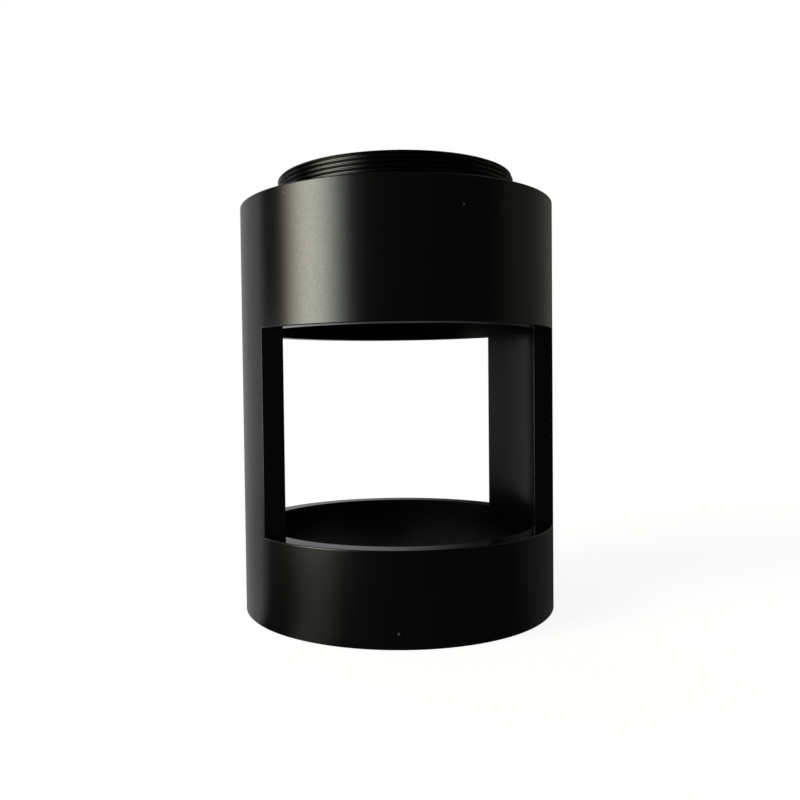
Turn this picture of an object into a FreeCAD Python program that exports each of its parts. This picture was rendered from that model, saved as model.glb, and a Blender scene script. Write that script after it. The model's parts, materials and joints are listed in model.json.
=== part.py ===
import FreeCAD, Part
import math
import os

# Camera adapter tube for a spotting scope: one piece of aluminium, bored and turned, then milled from
# two opposite sides. The lower end passes over the eyepiece and seats on the scope's collar. The upper
# end carries the M42 x 0.75 thread that takes a camera's T-ring. The two windows let fingers reach the
# eyepiece's zoom ring.
# Frame: the origin is the centre of the lower face, +Z runs along the axis to the thread, and -Y looks
# out of a window, so the two posts stand on +X and -X. All lengths are in millimetres.

# Body
BODY_DIAMETER = 55.3
BODY_HEIGHT = 70.9
BORE_DIAMETER = 49.0
END_WALL = 3.2
BORE_CORNER_RADIUS = 0.8

# Seat for the scope's collar, a short wider step at the mouth of the bore
SEAT_DIAMETER = 50.0
SEAT_DEPTH = 3.5

# Windows: each is one flat cut across the tube, so both faces of a post are parallel
WINDOW_BOTTOM = 15.0
WINDOW_HEIGHT = 34.0
POST_WIDTH = 22.7
WINDOW_EDGE_BREAK = 0.2

# Threaded spigot, drawn at the crest of the thread
THREAD_DIAMETER = 42.0
SPIGOT_HEIGHT = 5.15
APERTURE_DIAMETER = 38.0
LEAD_CHAMFER = 0.3

# Relief at the foot of the thread. It also undercuts the shoulder, so that a T-ring seats flat on it
RELIEF_WIDTH = 1.0
RELIEF_DEPTH = 0.6
UNDERCUT_REACH = 0.4
UNDERCUT_DEPTH = 0.3

# Turned edge breaks
SHOULDER_CHAMFER = 0.35
FOOT_CHAMFER = 0.25
MOUTH_CHAMFER = 0.5
APERTURE_CHAMFER = 0.3

# Room that the window cutter's path leaves outside the body
CUTTER_CLEARANCE = 5.0
SAME_PLACE = 1e-4


def turned_outline():
    """Half section of the turned blank, as a closed wire in the XZ plane."""
    body_r = BODY_DIAMETER / 2
    bore_r = BORE_DIAMETER / 2
    seat_r = SEAT_DIAMETER / 2
    thread_r = THREAD_DIAMETER / 2
    aperture_r = APERTURE_DIAMETER / 2
    relief_r = thread_r - RELIEF_DEPTH
    relief_top = BODY_HEIGHT + RELIEF_WIDTH
    top = BODY_HEIGHT + SPIGOT_HEIGHT
    bore_end = BODY_HEIGHT - END_WALL

    outside = [
        (seat_r + MOUTH_CHAMFER, 0),
        (body_r - FOOT_CHAMFER, 0),
        (body_r, FOOT_CHAMFER),
        (body_r, BODY_HEIGHT - SHOULDER_CHAMFER),
        (body_r - SHOULDER_CHAMFER, BODY_HEIGHT),
        (thread_r + UNDERCUT_REACH, BODY_HEIGHT),
        (relief_r, BODY_HEIGHT - UNDERCUT_DEPTH),
        (relief_r, relief_top),
        (thread_r, relief_top + RELIEF_DEPTH),
        (thread_r, top - LEAD_CHAMFER),
        (thread_r - LEAD_CHAMFER, top),
        (aperture_r + APERTURE_CHAMFER, top),
        (aperture_r, top - APERTURE_CHAMFER),
        (aperture_r, bore_end),
        (bore_r - BORE_CORNER_RADIUS, bore_end),
    ]
    bore = [
        (bore_r, bore_end - BORE_CORNER_RADIUS),
        (bore_r, SEAT_DEPTH),
        (seat_r, SEAT_DEPTH),
        (seat_r, MOUTH_CHAMFER),
        (seat_r + MOUTH_CHAMFER, 0),
    ]
    edges = straight_edges(outside) + [bore_corner(bore_r, bore_end)] + straight_edges(bore)
    return Part.Wire(edges)


def section_point(radius, height):
    """Point of the half section."""
    return FreeCAD.Vector(radius, 0, height)


def straight_edges(points):
    """Straight edges through points given as (radius, height)."""
    places = [section_point(*point) for point in points]
    return [Part.makeLine(start, end) for start, end in zip(places, places[1:])]


def bore_corner(bore_r, bore_end):
    """The quarter round that the boring tool's nose leaves where the bore meets the end wall."""
    round_r = BORE_CORNER_RADIUS
    half_way = round_r * (1 - math.sqrt(0.5))
    arc = Part.Arc(
        section_point(bore_r - round_r, bore_end),
        section_point(bore_r - half_way, bore_end - half_way),
        section_point(bore_r, bore_end - round_r),
    )
    return arc.toShape()


def turned_blank():
    """The tube with its shoulder, spigot, bore and aperture, before it is milled."""
    axis = FreeCAD.Vector(0, 0, 1)
    half_section = Part.Face(turned_outline())
    return half_section.revolve(FreeCAD.Vector(0, 0, 0), axis, 360)


def window_cut(side):
    """What the cutter takes off on one side, from the flat of the posts outwards."""
    width = BODY_DIAMETER + 2 * CUTTER_CLEARANCE
    depth = (BODY_DIAMETER - POST_WIDTH) / 2 + CUTTER_CLEARANCE
    block = Part.makeBox(width, depth, WINDOW_HEIGHT)
    near = POST_WIDTH / 2 if side > 0 else -POST_WIDTH / 2 - depth
    block.translate(FreeCAD.Vector(-width / 2, near, WINDOW_BOTTOM))
    return block


def on_window_rim(edge):
    """True for the sharp outward edges of a window: its arcs and the long edges of the posts."""
    box = edge.BoundBox
    lowest = WINDOW_BOTTOM
    highest = WINDOW_BOTTOM + WINDOW_HEIGHT
    flat = POST_WIDTH / 2
    level = box.ZLength < SAME_PLACE
    if level:
        in_plane = min(abs(box.ZMin - lowest), abs(box.ZMin - highest)) < SAME_PLACE
        return in_plane and box.YLength > SAME_PLACE
    upright = box.XLength < SAME_PLACE and box.YLength < SAME_PLACE
    on_flat = abs(abs(box.YMin) - flat) < SAME_PLACE
    return upright and on_flat and box.ZMin > lowest - SAME_PLACE


def adapter_tube():
    """The finished piece: the turned blank, milled from both sides, with its window edges broken."""
    milled = turned_blank().cut([window_cut(1), window_cut(-1)])
    rim = [edge for edge in milled.Edges if on_window_rim(edge)]
    return milled.makeChamfer(WINDOW_EDGE_BREAK, rim)


def save(name, shape):
    """Writes one node as a STEP file."""
    os.makedirs("parts", exist_ok=True)
    shape.exportStep(f"parts/{name}.step")


tube = adapter_tube()
save("adapter_tube", tube)
print("adapter_tube valid", tube.isValid(), "solids", len(tube.Solids), "volume mm3", round(tube.Volume, 1))
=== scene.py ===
import json
import math
from typing import NamedTuple

import bmesh
import bpy
from mathutils import Matrix, Vector


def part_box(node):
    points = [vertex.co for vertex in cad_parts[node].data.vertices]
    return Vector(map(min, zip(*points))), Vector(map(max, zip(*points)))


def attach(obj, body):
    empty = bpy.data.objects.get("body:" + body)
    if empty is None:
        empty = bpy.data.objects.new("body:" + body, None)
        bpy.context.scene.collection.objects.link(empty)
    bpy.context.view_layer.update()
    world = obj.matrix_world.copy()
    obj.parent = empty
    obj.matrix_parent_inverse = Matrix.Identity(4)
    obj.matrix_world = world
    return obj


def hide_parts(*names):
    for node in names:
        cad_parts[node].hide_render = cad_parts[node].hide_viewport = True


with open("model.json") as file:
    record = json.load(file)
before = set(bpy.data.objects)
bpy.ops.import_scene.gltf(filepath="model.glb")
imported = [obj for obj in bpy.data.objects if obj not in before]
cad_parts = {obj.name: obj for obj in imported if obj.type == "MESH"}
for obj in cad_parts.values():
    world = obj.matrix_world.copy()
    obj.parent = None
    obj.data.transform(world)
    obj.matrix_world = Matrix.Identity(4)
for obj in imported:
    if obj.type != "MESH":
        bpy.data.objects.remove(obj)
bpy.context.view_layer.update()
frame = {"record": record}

bl_info = {
    "name": "Camera adapter tube",
    "version": (1, 0, 0),
    "blender": (4, 5, 0),
    "location": "View3D > Sidebar > Adapter",
    "description": "Builds a black anodised camera adapter tube, its finish and a plain studio round it",
    "category": "Add Mesh",
}

MM = 0.001
NODE = "adapter_tube"
MOUNTS = {mount["name"]: mount for mount in frame["record"]["mounts"]}
LOWEST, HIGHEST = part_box(NODE)
BODY_RADIUS = HIGHEST.x
TOP = HIGHEST.z
SHOULDER_HEIGHT = MOUNTS["shoulder_face"]["pos_m"][2]
THREAD_RADIUS = MOUNTS["m42_thread"]["dims"]["r_mm"] * MM
SEAT_RADIUS = MOUNTS["scope_seat"]["dims"]["r_mm"] * MM

# How finely the tube is divided, round a post, round a window and over the rounds
POST_STRIPS = 34
WINDOW_STRIPS = 94
ROUND_STEPS = 3
BORE_CORNER_STEPS = 6
# Turns of thread made beyond each end, which the level cuts take off
SPARE_TURNS = 2
# Vertices that lie closer together than this become one
SAME_PLACE = 0.002 * MM
# Edges that turn by more than this are shaded sharp
SHARP_ANGLE = math.radians(33)

# The Wave texture has this many radians of a wave in one unit
WAVE_RADIANS = 20
# Noise levels at which a cloud in the finish begins and is full
CLOUD_EDGES = (0.35, 0.65)

# Places of the Mix node's colour sockets, because its other sockets have the same names
FIRST_COLOUR = 6
SECOND_COLOUR = 7
MIXED_COLOUR = 2

# The floor's radius is in metres, and the camera's sensor in millimetres
WHITE = (1.0, 1.0, 1.0, 1.0)
FLOOR_RADIUS = 6.0
FLOOR_SIDES = 64
SENSOR_WIDTH = 36.0
CLIP_START = 10 * MM


def length(label, text, default):
    """A length that the user can change, in metres."""
    return bpy.props.FloatProperty(
        name=label, description=text, default=default, min=0, precision=5, unit="LENGTH"
    )


def tint(label, text, default):
    """A linear colour that the user can change."""
    return bpy.props.FloatVectorProperty(
        name=label, description=text, default=default, min=0, max=1, size=3, subtype="COLOR"
    )


def number(label, text, default, most=1.0):
    """A plain number that the user can change."""
    return bpy.props.FloatProperty(
        name=label, description=text, default=default, min=0, max=most, precision=4
    )


def turn(label, text, degrees):
    """An angle that the user can change, given here in degrees."""
    return bpy.props.FloatProperty(
        name=label, description=text, default=math.radians(degrees), precision=5, subtype="ANGLE"
    )


class TubeSizes(bpy.types.PropertyGroup):
    """Sizes of the tube. The overall size, the thread and the seat come from the frame."""

    bore: length("Bore radius", "Radius of the bore round the eyepiece", 24.5 * MM)
    end_wall: length("End wall", "Thickness of the wall under the shoulder", 3.2 * MM)
    bore_corner: length("Bore corner", "Round where the bore meets the end wall", 0.8 * MM)
    aperture: length("Aperture radius", "Radius of the hole through the spigot", 19.0 * MM)
    window_bottom: length("Window bottom", "Height of the windows' lower faces", 15.0 * MM)
    window_height: length("Window height", "Height of the windows", 34.0 * MM)
    post_width: length("Post width", "Width of a post across its two flats", 22.7 * MM)
    rim_round: length("Window edge", "Width of the broken edge on a window's outer arcs", 0.2 * MM)
    fine_round: length("Fine edge", "Width of the broken edge on a window's other edges", 0.06 * MM)
    seat_depth: length("Seat depth", "Depth of the seat at the mouth", 3.5 * MM)
    mouth: length("Mouth chamfer", "Chamfer at the mouth of the seat", 0.5 * MM)
    foot: length("Foot chamfer", "Chamfer round the lower face", 0.25 * MM)
    shoulder: length("Shoulder chamfer", "Chamfer round the shoulder", 0.15 * MM)
    lip: length("Aperture chamfer", "Chamfer at the top of the aperture", 0.3 * MM)
    relief_width: length("Relief width", "Width of the relief at the foot of the thread", 1.0 * MM)
    relief_depth: length("Relief depth", "Depth of the relief below the crest", 0.6 * MM)
    undercut_reach: length("Undercut reach", "Reach of the relief into the shoulder", 0.4 * MM)
    undercut_depth: length("Undercut depth", "Depth of the relief in the shoulder", 0.3 * MM)
    edge_round: length("Turned edge", "Round on the edges of the turned chamfers", 0.06 * MM)


class ThreadSizes(bpy.types.PropertyGroup):
    """Shape of the camera thread."""

    pitch: length("Pitch", "Rise of the thread in one turn", 0.75 * MM)
    lead_in: length("Lead-in", "Chamfer at the thread's start", 0.3 * MM)
    drop: length("First crest", "Depth of the first crest below the top, at the post on +X", 0.73 * MM)
    crest_share: number("Crest", "Flat of the crest, as a share of the pitch", 0.085)
    root_share: number("Root", "Flat of the root, as a share of the pitch", 0.12)
    flank: turn("Flank", "Angle of a flank to the plane across the axis", 30.0)


class FinishLook(bpy.types.PropertyGroup):
    """Colours and textures of the black anodised finish."""

    dark: tint("Dark", "Deepest tone of the dyed layer", (0.0018, 0.0018, 0.0020))
    pale: tint("Pale", "Lightest tone of the dyed layer", (0.0034, 0.0034, 0.0032))
    wander_size: length("Patch size", "Size of the wide patches of tone and roughness", 9.0 * MM)
    satin: number("Satin roughness", "Roughness of the turned outside", 0.205)
    milled: number("Milled roughness", "Roughness of the faces that the windows' cutter left", 0.1)
    bored: number("Bored roughness", "Roughness of the inside", 0.25)
    matt: number("Matt inside", "How much less the bore shines than the outside", 0.64)
    uneven: number("Unevenness", "How far the roughness wanders", 0.04)
    clouds: number("Cloudiness", "How much the faint clouds in the dyed layer dim its shine", 0.09)
    cloud_size: length("Cloud size", "Size of the faint clouds", 0.5 * MM)
    ior: number("Refractive index", "Index of the sealed oxide layer", 1.7, 3.0)
    grain_size: length("Grain size", "Size of the fine grain on the outside", 0.22 * MM)
    grain_depth: length("Grain depth", "Depth of the fine grain", 0.003 * MM)
    tool_pitch: length("Tool mark pitch", "Spacing of the turning marks in the bore", 1.0053 * MM)
    tool_depth: length("Tool mark depth", "Depth of the turning marks", 0.0012 * MM)
    tool_bend: number("Tool mark bend", "How far the turning marks wander", 0.4)
    dust: tint("Dust", "Colour of the few dust specks", (0.2, 0.2, 0.18))
    dust_rough: number("Dust roughness", "How much rougher a dust speck is", 0.3)
    dust_spacing: length("Dust spacing", "Usual distance between two dust specks", 5.0 * MM)
    dust_size: length("Dust size", "Radius of a dust speck", 0.22 * MM)


class StageLook(bpy.types.PropertyGroup):
    """Camera, room and floor."""

    distance: length("Distance", "Level distance from the camera to the tube's axis", 146.05 * MM)
    height: length("Height", "Height of the camera above the lower face", 40.08 * MM)
    side: turn("Side", "How far the camera stands to the left of the window's middle", 13.84)
    pan: turn("Pan", "How far the camera looks past the axis to the left", 1.7)
    tilt: turn("Tilt", "How far the camera looks down", 1.813)
    roll: turn("Roll", "Roll of the camera", -0.672)
    lens: number("Lens", "Focal length in millimetres on a 36 mm sensor", 36.075, 200)
    shift_right: number("Shift x", "Shift of the lens to the right", 0.03325)
    shift_up: number("Shift y", "Shift of the lens upwards", 0.00974)
    dark: number("Dark room", "Level of the room where nothing is lit", 0.022)
    # Near and far also set where the floor's painted reflection goes over from its close level to its
    # far level
    near: length("Near floor", "Distance to which the floor has its level close to the tube", 0.14)
    far: length("Far floor", "Distance from which the floor shows as bright as the walls", 0.25)
    lift: number("Floor lift", "Level that the floor has for the camera without any lamp", 0.9)
    paint: number("Floor paint", "Share of the light that the floor gives back", 0.4)


class RoomPart(NamedTuple):
    """A bright part of the room, as the tube reflects it.

    The bearings are degrees to the left of straight behind the tube, seen from the camera: where the
    part begins, is full, begins to fade and has ended. The heights are degrees above the horizon, where
    it begins to fade and has ended. Parts of the floor need none.
    """

    name: str
    bearings: tuple
    level: float
    colour: tuple
    heights: tuple = ()


SOFTBOX = (0.985, 1.0, 0.84)
SHEET = (0.95, 0.97, 1.0)
WALL = (1.0, 1.0, 0.92)
WARM_SIDE = RoomPart("softbox, warm side", (88.5, 114, 116, 144), 3.05, (1.09, 1.0, 0.76), (32, 44))
COOL_SIDE = RoomPart("softbox, cool side", (93, 121, 125, 153), 3.35, (0.915, 1.0, 0.93), (32, 44))
BRIGHT_END = RoomPart("low sheet's bright end", (66, 84, 98, 110), 0.3, SHEET, (1, 4))
NEAR_WALL = RoomPart("right wall", (-110, -88, -32, -18), 0.078, (0.94, 1.0, 0.68), (60, 80))
FAR_WALL = RoomPart("right wall's far end", (-75, -40, -26, -12), 0.055, (0.95, 1.0, 1.0), (60, 80))
WALLS = (
    WARM_SIDE,
    COOL_SIDE,
    RoomPart("left rear sheet", (-6, 5, 65, 74), 0.40, SHEET, (40, 60)),
    RoomPart("low sheet on the left", (62, 72, 98, 110), 0.40, SHEET, (1, 4)),
    BRIGHT_END,
    NEAR_WALL,
    FAR_WALL,
)

# The floor's shine is a painted reflection: shiny rays see the floor glow with the room's parts. Far
# away it glows as bright as the walls, and close to the tube it gives the room back dimly.
FAR_FLOOR_PAINTED_REFLECTION = (
    WARM_SIDE,
    COOL_SIDE,
    RoomPart("left rear sheet", (-1.5, 6.5, 98, 110), 0.40, SHEET),
    BRIGHT_END,
    NEAR_WALL,
    FAR_WALL,
)
NEAR_FLOOR_PAINTED_REFLECTION = (
    RoomPart("softbox", (97, 118, 121, 146), 0.21, SOFTBOX),
    RoomPart("left rear sheet", (-10, 0, 61, 77), 0.34, SHEET),
    RoomPart("right wall", (-98, -62, -36, -22), 0.036, WALL),
)


class Signal:
    """An output socket that Python's operators add nodes to. A value gives Math nodes."""

    def __init__(self, graph, socket):
        self.graph = graph
        self.socket = socket

    def math(self, operation, *values):
        return self.graph.add("ShaderNodeMath", {"operation": operation}, dict(enumerate(values)))

    def __add__(self, other):
        return self.math("ADD", self, other)

    def __radd__(self, other):
        return self.math("ADD", other, self)

    def __sub__(self, other):
        return self.math("SUBTRACT", self, other)

    def __rsub__(self, other):
        return self.math("SUBTRACT", other, self)

    def __mul__(self, other):
        return self.math("MULTIPLY", self, other)

    def __rmul__(self, other):
        return self.math("MULTIPLY", other, self)

    def __truediv__(self, other):
        return self.math("DIVIDE", self, other)

    def __rtruediv__(self, other):
        return self.math("DIVIDE", other, self)

    def __pow__(self, other):
        return self.math("POWER", self, other)

    def __gt__(self, other):
        return self.math("GREATER_THAN", self, other)

    def __lt__(self, other):
        return self.math("LESS_THAN", self, other)


class Graph:
    """The nodes of one material or world."""

    def __init__(self, tree):
        self.tree = tree
        tree.nodes.clear()

    def add(self, kind, settings=None, sockets=None, output=0):
        """Adds one node: its settings first, then the values or links of its sockets."""
        node = self.tree.nodes.new(kind)
        for name, value in (settings or {}).items():
            setattr(node, name, value)
        for name, value in (sockets or {}).items():
            if isinstance(value, Signal):
                self.tree.links.new(value.socket, node.inputs[name])
            else:
                node.inputs[name].default_value = value
        return Signal(self, node.outputs[output]) if len(node.outputs) else node

    def ramp(self, value, start, end):
        """Smooth step from 0 at start to 1 at end."""
        sockets = {"Value": value, "From Min": start, "From Max": end}
        return self.add("ShaderNodeMapRange", {"interpolation_type": "SMOOTHSTEP"}, sockets)

    def mix(self, factor, first, second, kind="MIX", label=""):
        """Two colours mixed or put together in another way, by a factor."""
        settings = {"data_type": "RGBA", "blend_type": kind, "label": label}
        sockets = {"Factor": factor, FIRST_COLOUR: first, SECOND_COLOUR: second}
        return self.add("ShaderNodeMix", settings, sockets, MIXED_COLOUR)

    def noise(self, place, size, detail, roughness=0.5):
        """Random patches of a size."""
        sockets = {"Vector": place, "Scale": 1 / size, "Detail": detail, "Roughness": roughness}
        return self.add("ShaderNodeTexNoise", None, sockets)

    def coordinates(self, vector):
        """The three coordinates of a vector."""
        first = self.add("ShaderNodeSeparateXYZ", None, {"Vector": vector})
        return [Signal(self, socket) for socket in first.socket.node.outputs]

    def size(self, vector):
        """Length of a vector."""
        return self.add("ShaderNodeVectorMath", {"operation": "LENGTH"}, {0: vector}, "Value")

    def towards(self, vector, direction):
        """How far a vector reaches in a direction."""
        sockets = {0: vector, 1: direction}
        return self.add("ShaderNodeVectorMath", {"operation": "DOT_PRODUCT"}, sockets, "Value")

    def either(self, factor, first, second):
        """Two shaders mixed by a factor."""
        return self.add("ShaderNodeMixShader", None, {0: factor, 1: first, 2: second})

    def seen_plainly(self):
        """1 where a ray comes from the camera, also through glass."""
        camera = self.add("ShaderNodeLightPath", output="Is Camera Ray")
        through = self.add("ShaderNodeLightPath", output="Is Transmission Ray")
        return camera.math("MAXIMUM", camera, through)


def rgba(colour):
    """A colour with its alpha."""
    return (*colour, 1.0)


def grey(level):
    """A neutral colour of a level, with its alpha."""
    return (level, level, level, 1.0)


def round_off(points, radius):
    """Points of an open outline, with a small round in place of each inner corner."""
    outline = [points[0]]
    for before, corner, after in zip(points, points[1:], points[2:]):
        here = Vector(corner)
        back = Vector(before) - here
        on = Vector(after) - here
        reach = min(radius, back.length / 2, on.length / 2)
        start = here + back.normalized() * reach
        end = here + on.normalized() * reach
        for step in range(ROUND_STEPS + 1):
            t = step / ROUND_STEPS
            outline.append(tuple((1 - t) ** 2 * start + 2 * t * (1 - t) * here + t**2 * end))
    outline.append(points[-1])
    return outline


def bore_corner(sizes, end):
    """Outline of the round between the end wall and the bore."""
    middle = sizes.bore - sizes.bore_corner
    turns = [math.radians(90) * step / BORE_CORNER_STEPS for step in range(BORE_CORNER_STEPS + 1)]
    return [
        (
            middle + sizes.bore_corner * math.sin(angle),
            end - sizes.bore_corner * (1 - math.cos(angle)),
        )
        for angle in turns
    ]


def turned_outlines(sizes, thread):
    """The four stretches of the turned outline with broken edges, as points (radius, height).

    They are the foot, the shoulder, the aperture and the mouth, in their order round the section. The
    windows, the thread and the bore's corner lie between them. The mouth ends where the foot begins.
    """
    relief = THREAD_RADIUS - sizes.relief_depth
    face_start = (SEAT_RADIUS + sizes.mouth + sizes.foot, 0)
    foot = [
        face_start,
        (BODY_RADIUS - sizes.foot, 0),
        (BODY_RADIUS, sizes.foot),
        (BODY_RADIUS, 2 * sizes.foot),
    ]
    shoulder = [
        (BODY_RADIUS, SHOULDER_HEIGHT - 2 * sizes.shoulder),
        (BODY_RADIUS, SHOULDER_HEIGHT - sizes.shoulder),
        (BODY_RADIUS - sizes.shoulder, SHOULDER_HEIGHT),
        (THREAD_RADIUS + sizes.undercut_reach, SHOULDER_HEIGHT),
        (relief, SHOULDER_HEIGHT - sizes.undercut_depth),
        (relief, SHOULDER_HEIGHT + sizes.relief_width),
    ]
    aperture = [
        (THREAD_RADIUS - thread.lead_in, TOP),
        (sizes.aperture + sizes.lip, TOP),
        (sizes.aperture, TOP - sizes.lip),
        (sizes.aperture, SHOULDER_HEIGHT - sizes.end_wall),
    ]
    mouth = [
        (sizes.bore, sizes.seat_depth),
        (SEAT_RADIUS, sizes.seat_depth),
        (SEAT_RADIUS, sizes.mouth),
        (SEAT_RADIUS + sizes.mouth, 0),
        face_start,
    ]
    return [round_off(points, sizes.edge_round) for points in (foot, shoulder, aperture, mouth)]


class TubeMesh:
    """The tube as rings of vertices round its axis, joined by strips of faces.

    Every ring has a vertex at each corner of both posts. The rings outside and the rings in the bore
    have these corners at different angles, because a post's flats are parallel.
    """

    def __init__(self, sizes):
        self.mesh = bmesh.new()
        self.rounding = self.mesh.edges.layers.float.new("bevel_weight_edge")
        half_post = sizes.post_width / 2
        self.outer_angles = self.column_angles(math.asin(half_post / BODY_RADIUS))
        self.inner_angles = self.column_angles(math.asin(half_post / sizes.bore))
        half_turn = POST_STRIPS + WINDOW_STRIPS
        self.count = 2 * half_turn
        strips = range(self.count)
        self.post_strips = [strip for strip in strips if strip % half_turn < POST_STRIPS]
        self.window_strips = [strip for strip in strips if strip % half_turn >= POST_STRIPS]
        self.corners = [0, POST_STRIPS, half_turn, half_turn + POST_STRIPS]

    def column_angles(self, corner):
        """Angle of each vertex of a ring, from one corner of the post on +X."""
        angles = []
        gap = math.pi - 2 * corner
        for middle in (0.0, math.pi):
            for strip in range(POST_STRIPS):
                angles.append(middle - corner + 2 * corner * strip / POST_STRIPS)
            for strip in range(WINDOW_STRIPS):
                angles.append(middle + corner + gap * strip / WINDOW_STRIPS)
        return angles

    def vertex(self, radius, angle, height):
        """One vertex, given by its place round the axis."""
        return self.mesh.verts.new((radius * math.cos(angle), radius * math.sin(angle), height))

    def ring(self, radius, height, angles):
        """One level circle of vertices."""
        return [self.vertex(radius, angle, height) for angle in angles]

    def rings(self, outline, angles):
        """A ring for each point of an outline, given as (radius, height)."""
        return [self.ring(radius, height, angles) for radius, height in outline]

    def join(self, low, high, strips=None):
        """Faces between two rings, all round or on the strips given."""
        for strip in range(self.count) if strips is None else strips:
            after = (strip + 1) % self.count
            self.mesh.faces.new((low[strip], low[after], high[after], high[strip]))

    def join_all(self, rings):
        """Faces between each ring and the next."""
        for low, high in zip(rings, rings[1:]):
            self.join(low, high)

    def flats(self, outer, inner):
        """The four flat faces of the posts, between the rings at the windows' two heights."""
        for corner in self.corners:
            outside = (outer[0][corner], outer[1][corner])
            inside = (inner[1][corner], inner[0][corner])
            self.mesh.faces.new((*outside, *inside))

    def mark(self, start, end, weight):
        """Marks an edge to be rounded, with its share of the widest round."""
        self.mesh.edges.get((start, end))[self.rounding] = weight

    def mark_rims(self, rings, arcs, uprights):
        """Marks the windows' arcs and the posts' upright edges on one side of the wall."""
        for ring in rings:
            for strip in self.window_strips:
                self.mark(ring[strip], ring[(strip + 1) % self.count], arcs)
        for corner in self.corners:
            self.mark(rings[0][corner], rings[1][corner], uprights)


def thread_radius(turn_share, thread):
    """Radius of the thread's surface at a share of the pitch, from the middle of a crest."""
    half_crest = thread.crest_share / 2
    half_root = thread.root_share / 2
    away = abs((turn_share + 0.5) % 1.0 - 0.5)
    flank_width = 0.5 - half_crest - half_root
    down = min(max(away - half_crest, 0.0), flank_width) * thread.pitch
    return THREAD_RADIUS - down / math.tan(thread.flank)


def cut_thread(tube, sizes, thread):
    """Faces that climb as a right-hand thread does, cut off level at its foot and at its top."""
    foot = SHOULDER_HEIGHT + sizes.relief_width
    relief = THREAD_RADIUS - sizes.relief_depth
    start_radius = THREAD_RADIUS - thread.lead_in
    first_crest = TOP - thread.drop
    start_angle = tube.outer_angles[0]

    crest_end = thread.crest_share / 2
    root_start = 0.5 - thread.root_share / 2
    root_end = 0.5 + thread.root_share / 2
    next_crest = 1 - crest_end
    down_middle = (crest_end + root_start) / 2
    up_middle = (root_end + next_crest) / 2
    rows_in_turn = (crest_end, down_middle, root_start, root_end, up_middle, next_crest)
    turns = math.ceil((TOP - foot) / thread.pitch) + SPARE_TURNS
    rows = [number + row for number in range(-turns, SPARE_TURNS + 1) for row in rows_in_turn]

    grid = []
    for row in rows:
        line = []
        for angle in (*tube.outer_angles, start_angle + 2 * math.pi):
            climbed = (angle - start_angle) / (2 * math.pi)
            height = min(max(first_crest + (row + climbed) * thread.pitch, foot), TOP)
            phase = (height - first_crest) / thread.pitch - climbed
            limits = (relief + height - foot, start_radius + TOP - height)
            radius = min(thread_radius(phase, thread), *limits) if height < TOP else start_radius
            line.append(tube.vertex(radius, angle, height))
        grid.append(line)
    for low, high in zip(grid, grid[1:]):
        for column in range(tube.count):
            corners = (low[column], low[column + 1], high[column + 1], high[column])
            tube.mesh.faces.new(corners)


def tube_geometry(sizes, thread):
    """The whole tube, with its thread, as one closed mesh. Its sharp milled edges are marked."""
    tube = TubeMesh(sizes)
    outer = tube.outer_angles
    inner = tube.inner_angles
    foot, shoulder, aperture, mouth = turned_outlines(sizes, thread)
    window = (sizes.window_bottom, sizes.window_bottom + sizes.window_height)
    foot_rings = tube.rings(foot, outer)
    shoulder_rings = tube.rings(shoulder, outer)
    aperture_rings = tube.rings(aperture, outer)
    corner_rings = tube.rings(bore_corner(sizes, SHOULDER_HEIGHT - sizes.end_wall), inner)
    mouth_rings = tube.rings(mouth[:-1], inner)
    outer_rims = [tube.ring(BODY_RADIUS, height, outer) for height in window]
    inner_rims = [tube.ring(sizes.bore, height, inner) for height in window]

    tube.join_all(foot_rings + [outer_rims[0]])
    tube.join(outer_rims[0], outer_rims[1], tube.post_strips)
    tube.join_all([outer_rims[1]] + shoulder_rings)
    tube.join_all(aperture_rings + corner_rings + [inner_rims[1]])
    tube.join(inner_rims[1], inner_rims[0], tube.post_strips)
    tube.join_all([inner_rims[0]] + mouth_rings + [foot_rings[0]])
    for outside, inside in zip(outer_rims, inner_rims):
        tube.join(outside, inside, tube.window_strips)
    tube.flats(outer_rims, inner_rims)
    cut_thread(tube, sizes, thread)

    fine = sizes.fine_round / sizes.rim_round
    tube.mark_rims(outer_rims, 1.0, fine)
    tube.mark_rims(inner_rims, fine, fine)
    bmesh.ops.remove_doubles(tube.mesh, verts=tube.mesh.verts, dist=SAME_PLACE)
    bmesh.ops.recalc_face_normals(tube.mesh, faces=tube.mesh.faces)
    return tube.mesh


def rounded(mesh, width):
    """The mesh with its marked edges rounded, each as wide as its mark says."""
    draft = bpy.data.objects.new("draft", mesh)
    bpy.context.scene.collection.objects.link(draft)
    bevel = draft.modifiers.new("Rounding", "BEVEL")
    bevel.limit_method = "WEIGHT"
    bevel.width = width
    bevel.segments = ROUND_STEPS
    depsgraph = bpy.context.evaluated_depsgraph_get()
    result = bpy.data.meshes.new_from_object(draft.evaluated_get(depsgraph))
    bpy.data.objects.remove(draft)
    bpy.data.meshes.remove(mesh)

    geometry = bmesh.new()
    geometry.from_mesh(result)
    bmesh.ops.remove_doubles(geometry, verts=geometry.verts, dist=SAME_PLACE)
    bmesh.ops.dissolve_degenerate(geometry, dist=SAME_PLACE, edges=geometry.edges)
    geometry.to_mesh(result)
    geometry.free()
    result.name = "turned_tube"
    return result


def make_tube(sizes, thread):
    """The tube's object, shaded smooth apart from its sharp edges."""
    blank = bpy.data.meshes.new("blank")
    geometry = tube_geometry(sizes, thread)
    geometry.to_mesh(blank)
    geometry.free()
    mesh = rounded(blank, sizes.rim_round)
    mesh.polygons.foreach_set("use_smooth", [True] * len(mesh.polygons))
    mesh.set_sharp_from_angle(angle=SHARP_ANGLE)
    tube = bpy.data.objects.new("turned_tube", mesh)
    bpy.context.scene.collection.objects.link(tube)
    normals = tube.modifiers.new("Even normals", "WEIGHTED_NORMAL")
    normals.keep_sharp = True
    return tube


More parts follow.
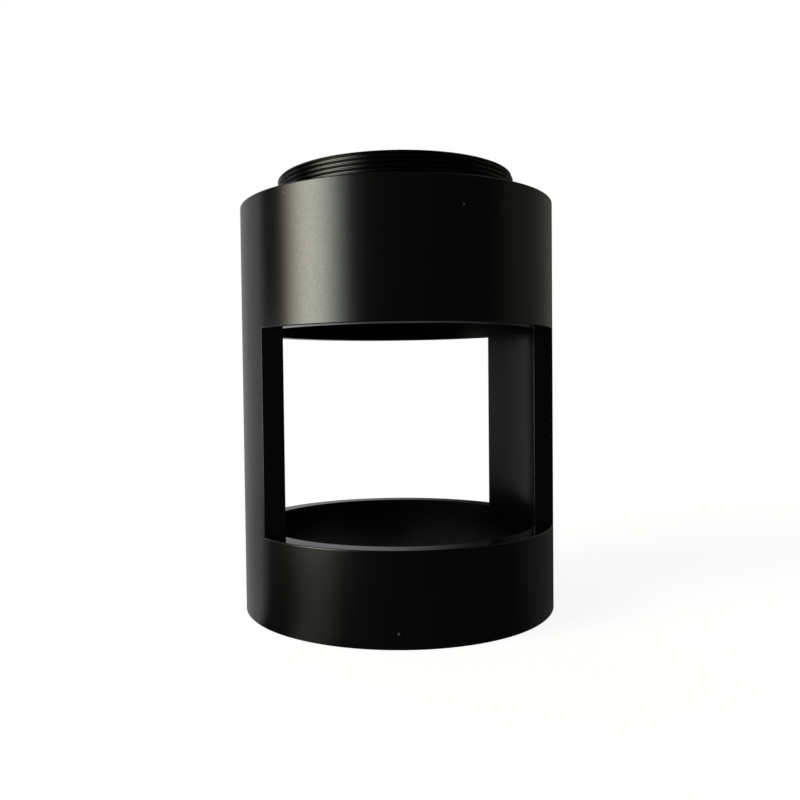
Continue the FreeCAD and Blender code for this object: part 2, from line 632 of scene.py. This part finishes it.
def tool_marks(graph, look, place):
    """Waves along the axis, as the boring tool leaves them."""
    return graph.add(
        "ShaderNodeTexWave",
        {"wave_type": "BANDS", "bands_direction": "Z"},
        {
            "Vector": place,
            "Scale": 2 * math.pi / (WAVE_RADIANS * look.tool_pitch),
            "Distortion": look.tool_bend,
        },
        output="Fac",
    )


def dust_specks(graph, look, place):
    """1 in the middle of the dust specks, 0 between them."""
    cells = {"Vector": place, "Scale": 1 / look.dust_spacing}
    distance = graph.add("ShaderNodeTexVoronoi", None, cells, output="Distance")
    radius = look.dust_size / look.dust_spacing
    return 1 - graph.ramp(distance, radius / 2, radius)


def anodised_finish(look, sizes):
    """Black anodised aluminium: satin outside, smoother on the milled faces, duller in the bore."""
    material = bpy.data.materials.new("black_anodised")
    material.use_nodes = True
    graph = Graph(material.node_tree)
    place = graph.add("ShaderNodeTexCoord", output="Object")
    x, y, z = graph.coordinates(place)
    radius = (x * x + y * y) ** 0.5

    edge = sizes.rim_round
    window_top = sizes.window_bottom + sizes.window_height
    outside = graph.ramp(radius, BODY_RADIUS - edge, BODY_RADIUS)
    between = (z > sizes.window_bottom - edge / 2) * (z < window_top + edge / 2)
    in_wall = (radius > sizes.bore + edge / 2) * (radius < BODY_RADIUS - edge / 2)
    milled = between * in_wall
    wall_middle = (BODY_RADIUS + sizes.bore) / 2
    inside = (radius < wall_middle) * (z < SHOULDER_HEIGHT - sizes.end_wall)
    blasted = (radius < sizes.bore + sizes.fine_round / 4) * inside

    wander = graph.noise(place, look.wander_size, 3.0)
    grain = graph.noise(place, look.grain_size, 2.0, 0.6)
    clouds = graph.ramp(graph.noise(place, look.cloud_size, 3.0), *CLOUD_EDGES)
    dust = dust_specks(graph, look, place)

    tone = graph.mix(wander, rgba(look.dark), rgba(look.pale))
    base = graph.mix(dust, tone, rgba(look.dust))
    turned_rough = look.satin + look.uneven * (wander - 0.5) + look.uneven * (grain - 0.5)
    round_rough = turned_rough + (look.bored - look.satin) * inside
    rough = round_rough * (1 - milled) + look.milled * milled + look.dust_rough * dust
    marks = tool_marks(graph, look, place)
    height = grain * outside * look.grain_depth + marks * inside * look.tool_depth
    bump = graph.add("ShaderNodeBump", None, {"Height": height, "Distance": 1.0, "Strength": 1.0})

    shiny = graph.add(
        "ShaderNodeBsdfPrincipled",
        None,
        {"Base Color": base, "Roughness": rough, "Normal": bump, "IOR": look.ior},
    )
    powdery = graph.add(
        "ShaderNodeBsdfPrincipled",
        None,
        {"Base Color": tone, "Roughness": 1.0, "Specular IOR Level": 0.0},
    )
    dulled = clouds.math("MAXIMUM", look.clouds * clouds, look.matt * blasted)
    surface = graph.either(dulled, shiny, powdery)
    graph.add("ShaderNodeOutputMaterial", None, {"Surface": surface})
    return material


def bearing(graph, stage, place):
    """Angle of a direction to the left of straight behind the tube."""
    behind = (math.sin(stage.side), math.cos(stage.side), 0)
    left = (-math.cos(stage.side), math.sin(stage.side), 0)
    across = graph.towards(place, left)
    return across.math("ARCTAN2", across, graph.towards(place, behind))


def mirrored_bearing(graph, stage, place, steps=4):
    """Bearing in which the tube's side mirrors a spot of the floor to somebody in front of it.

    The mirrored ray leaves the side of the tube and not its axis, so close to the tube this bearing
    falls behind the spot's own. It is found in a few steps, each from the one before.
    """
    spot = bearing(graph, stage, place)
    away = spot.math("ABSOLUTE", spot)
    closeness = BODY_RADIUS / graph.size(place)
    turned = away
    for _ in range(steps):
        offset = closeness * turned.math("COSINE", turned / 2)
        turned = away - offset.math("ARCSINE", offset)
    turned = turned.math("MAXIMUM", turned, 0.0)
    return turned * spot.math("SIGN", spot)


def room_light(graph, stage, angle, parts, height=None):
    """Light that the tube sees at a bearing, from the parts of the room that are listed."""
    light = grey(stage.dark)
    for part in parts:
        begin, full, fading, ended = (math.radians(value) for value in part.bearings)
        seen = graph.ramp(angle, begin, full) * (1 - graph.ramp(angle, fading, ended))
        if height is not None:
            low, high = (math.sin(math.radians(value)) for value in part.heights)
            seen = seen * (1 - graph.ramp(height, low, high))
        glow = rgba(part.level * channel for channel in part.colour)
        light = graph.mix(seen, light, glow, "ADD", part.name)
    return light


def make_world(stage):
    """White behind everything for the camera, and the lit room for what the tube reflects."""
    world = bpy.data.worlds.new("studio")
    world.use_nodes = True
    graph = Graph(world.node_tree)
    direction = graph.add("ShaderNodeTexCoord", output="Generated")
    angle = bearing(graph, stage, direction)
    room = room_light(graph, stage, angle, WALLS, graph.coordinates(direction)[2])
    colour = graph.mix(graph.seen_plainly(), room, WHITE)
    background = graph.add("ShaderNodeBackground", None, {"Color": colour, "Strength": 1.0})
    graph.add("ShaderNodeOutputWorld", None, {"Surface": background})
    bpy.context.scene.world = world


def floor_material(stage):
    """White floor with the tube's soft shadow. Shiny rays see a painted reflection on it, the room's
    glow.
    """
    material = bpy.data.materials.new("white_floor")
    material.use_nodes = True
    graph = Graph(material.node_tree)
    place = graph.add("ShaderNodeNewGeometry", output="Position")
    away = graph.ramp(graph.size(place), stage.near, stage.far)
    angle = mirrored_bearing(graph, stage, place)
    # Painted reflection: the glow that shiny rays see, close to the tube and far from it, laid out by
    # where the tube's side mirrors each spot
    close = room_light(graph, stage, angle, NEAR_FLOOR_PAINTED_REFLECTION)
    distant = room_light(graph, stage, angle, FAR_FLOOR_PAINTED_REFLECTION)
    glow = graph.add("ShaderNodeEmission", None, {"Color": graph.mix(away, close, distant)})
    white = graph.add("ShaderNodeEmission", None, {"Color": WHITE})
    lift = graph.add("ShaderNodeEmission", None, {"Color": grey(stage.lift)})
    painted = graph.add("ShaderNodeBsdfDiffuse", None, {"Color": grey(stage.paint)})
    shaded = graph.add("ShaderNodeAddShader", None, {0: painted, 1: lift})
    seen = graph.either(away, shaded, white)
    plain = graph.either(graph.seen_plainly(), painted, seen)
    # Shiny rays see the painted reflection instead of the floor's own shading
    glossy = graph.add("ShaderNodeLightPath", output="Is Glossy Ray")
    surface = graph.either(glossy, plain, glow)
    graph.add("ShaderNodeOutputMaterial", None, {"Surface": surface})
    return material


def make_floor(stage):
    """A wide floor under the tube."""
    floor = bpy.data.objects.new("studio_floor", bpy.data.meshes.new("studio_floor"))
    disc = bmesh.new()
    bmesh.ops.create_circle(disc, cap_ends=True, segments=FLOOR_SIDES, radius=FLOOR_RADIUS)
    disc.to_mesh(floor.data)
    disc.free()
    floor.location.z = LOWEST.z
    floor.data.materials.append(floor_material(stage))
    bpy.context.scene.collection.objects.link(floor)


def make_camera(stage):
    """The camera, at the level and the distance that the photograph was taken from."""
    data = bpy.data.cameras.new("camera")
    data.sensor_width = SENSOR_WIDTH
    data.lens = stage.lens
    data.shift_x = stage.shift_right
    data.shift_y = stage.shift_up
    data.clip_start = CLIP_START
    camera = bpy.data.objects.new("camera", data)
    place = Vector((-math.sin(stage.side), -math.cos(stage.side), 0)) * stage.distance
    place.z = stage.height
    heading = Matrix.Rotation(stage.pan - stage.side, 4, "Z")
    looking = Matrix.Rotation(math.radians(90) - stage.tilt, 4, "X")
    rolled = Matrix.Rotation(stage.roll, 4, "Z")
    camera.matrix_world = Matrix.Translation(place) @ heading @ looking @ rolled
    bpy.context.scene.collection.objects.link(camera)
    bpy.context.scene.camera = camera


class ADAPTER_OT_tube(bpy.types.Operator):
    """Builds the adapter tube with its thread and its black anodised finish"""

    bl_idname = "adapter.tube"
    bl_label = "Adapter tube"

    def execute(self, context):
        scene = context.scene
        tube = make_tube(scene.adapter_sizes, scene.adapter_thread)
        tube.data.materials.append(anodised_finish(scene.adapter_finish, scene.adapter_sizes))
        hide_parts(NODE)
        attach(tube, "root")
        return {"FINISHED"}


class ADAPTER_OT_stage(bpy.types.Operator):
    """Sets up the white floor, the lit room and the camera"""

    bl_idname = "adapter.stage"
    bl_label = "Studio"

    def execute(self, context):
        stage = context.scene.adapter_stage
        context.scene.view_settings.view_transform = "Standard"
        make_world(stage)
        make_floor(stage)
        make_camera(stage)
        return {"FINISHED"}


class ADAPTER_PT_sidebar(bpy.types.Panel):
    """Lists the operators and their settings"""

    bl_idname = "ADAPTER_PT_sidebar"
    bl_label = "Camera adapter tube"
    bl_space_type = "VIEW_3D"
    bl_region_type = "UI"
    bl_category = "Adapter"

    def draw(self, context):
        for operator, groups in OPERATORS:
            self.layout.operator(operator.bl_idname)
            for name in groups:
                settings = getattr(context.scene, name)
                box = self.layout.box()
                for field in settings.__annotations__:
                    box.prop(settings, field)


GROUPS = {
    "adapter_sizes": TubeSizes,
    "adapter_thread": ThreadSizes,
    "adapter_finish": FinishLook,
    "adapter_stage": StageLook,
}
OPERATORS = (
    (ADAPTER_OT_tube, ("adapter_sizes", "adapter_thread", "adapter_finish")),
    (ADAPTER_OT_stage, ("adapter_stage",)),
)
CLASSES = (*GROUPS.values(), ADAPTER_OT_tube, ADAPTER_OT_stage, ADAPTER_PT_sidebar)


def register():
    """Makes the settings, the operators and the panel known to Blender."""
    for cls in CLASSES:
        bpy.utils.register_class(cls)
    for name, group in GROUPS.items():
        setattr(bpy.types.Scene, name, bpy.props.PointerProperty(type=group))


def unregister():
    """Takes them out again."""
    for name in GROUPS:
        delattr(bpy.types.Scene, name)
    for cls in reversed(CLASSES):
        bpy.utils.unregister_class(cls)


def main():
    """Builds the tube and its studio."""
    register()
    bpy.ops.adapter.tube()
    bpy.ops.adapter.stage()


if __name__ == "__main__":
    main()
